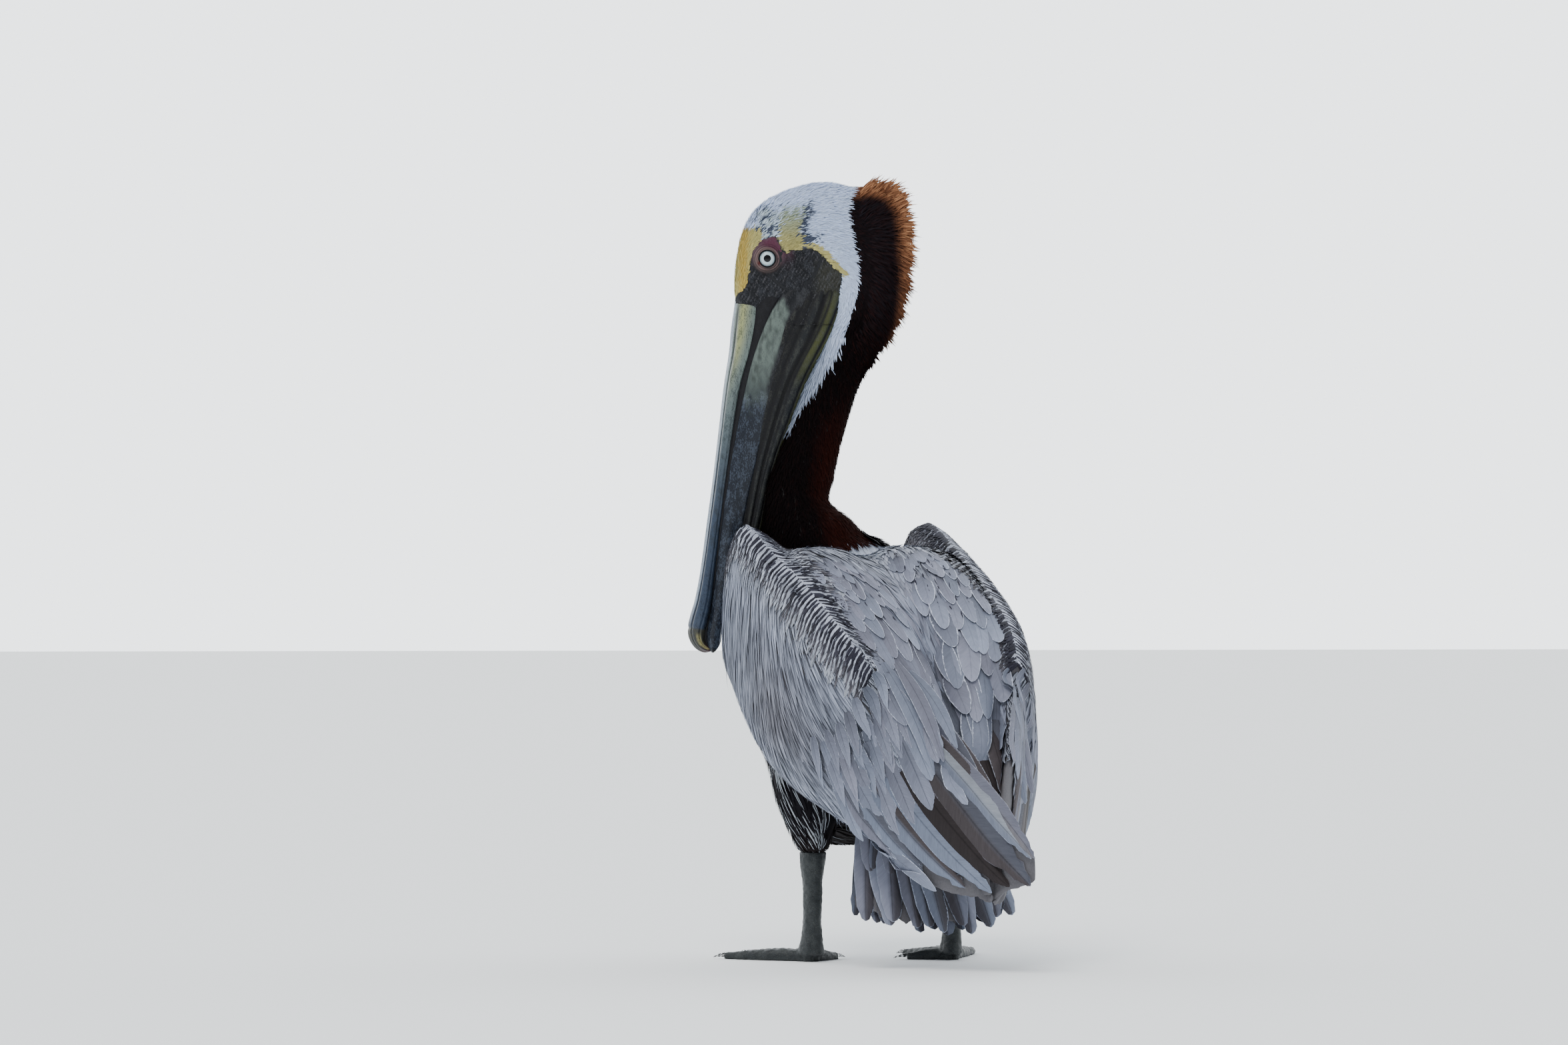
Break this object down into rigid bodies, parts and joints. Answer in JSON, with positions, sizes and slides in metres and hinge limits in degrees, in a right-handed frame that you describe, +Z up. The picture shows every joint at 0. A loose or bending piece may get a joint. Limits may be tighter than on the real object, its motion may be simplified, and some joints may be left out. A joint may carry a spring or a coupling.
{
  "type": "brown pelican",
  "caption": "Life-size still model of a brown pelican standing with folded wings, its head turned to its left and its long pouched bill hanging down.",
  "frame": {"origin": "on the floor, under the middle of the model's box", "axes": "+Z up, -Y the way the body faces, +X the bird's left"},
  "size_m": [0.2484, 0.401, 0.7044],
  "materials": {
    "belly": "dark brown plumage",
    "brown": "dark chestnut plumage",
    "claw": "claw horn",
    "dark": "slate brown flight feathers",
    "eye": "wet eye",
    "horn": "horn of the bill",
    "pouch": "bare skin of the pouch",
    "rufous": "rufous mane plumage",
    "silver": "silver grey plumage",
    "skin": "scaly skin of the legs and feet",
    "white": "white plumage"
  },
  "bodies": {
    "root": {"bill_lower_left": "horn", "bill_lower_right": "horn", "bill_nail": "horn", "bill_upper": "horn", "claw_left_back": "claw", "claw_left_inner": "claw", "claw_left_middle": "claw", "claw_left_outer": "claw", "claw_right_back": "claw", "claw_right_inner": "claw", "claw_right_middle": "claw", "claw_right_outer": "claw", "eye_left": "eye", "eye_right": "eye", "flight_left": "dark", "flight_right": "dark", "foot_left": "skin", "foot_right": "skin", "head": "white", "mane": "rufous", "neck_lower": "brown", "neck_middle": "brown", "neck_upper": "brown", "pouch": "pouch", "scapulars_left": "silver", "scapulars_right": "silver", "shank_left": "skin", "shank_right": "skin", "tail": "dark", "thigh_left": "belly", "thigh_right": "belly", "trunk": "belly", "wing_left": "silver", "wing_right": "silver"}
  },
  "joints": []
}
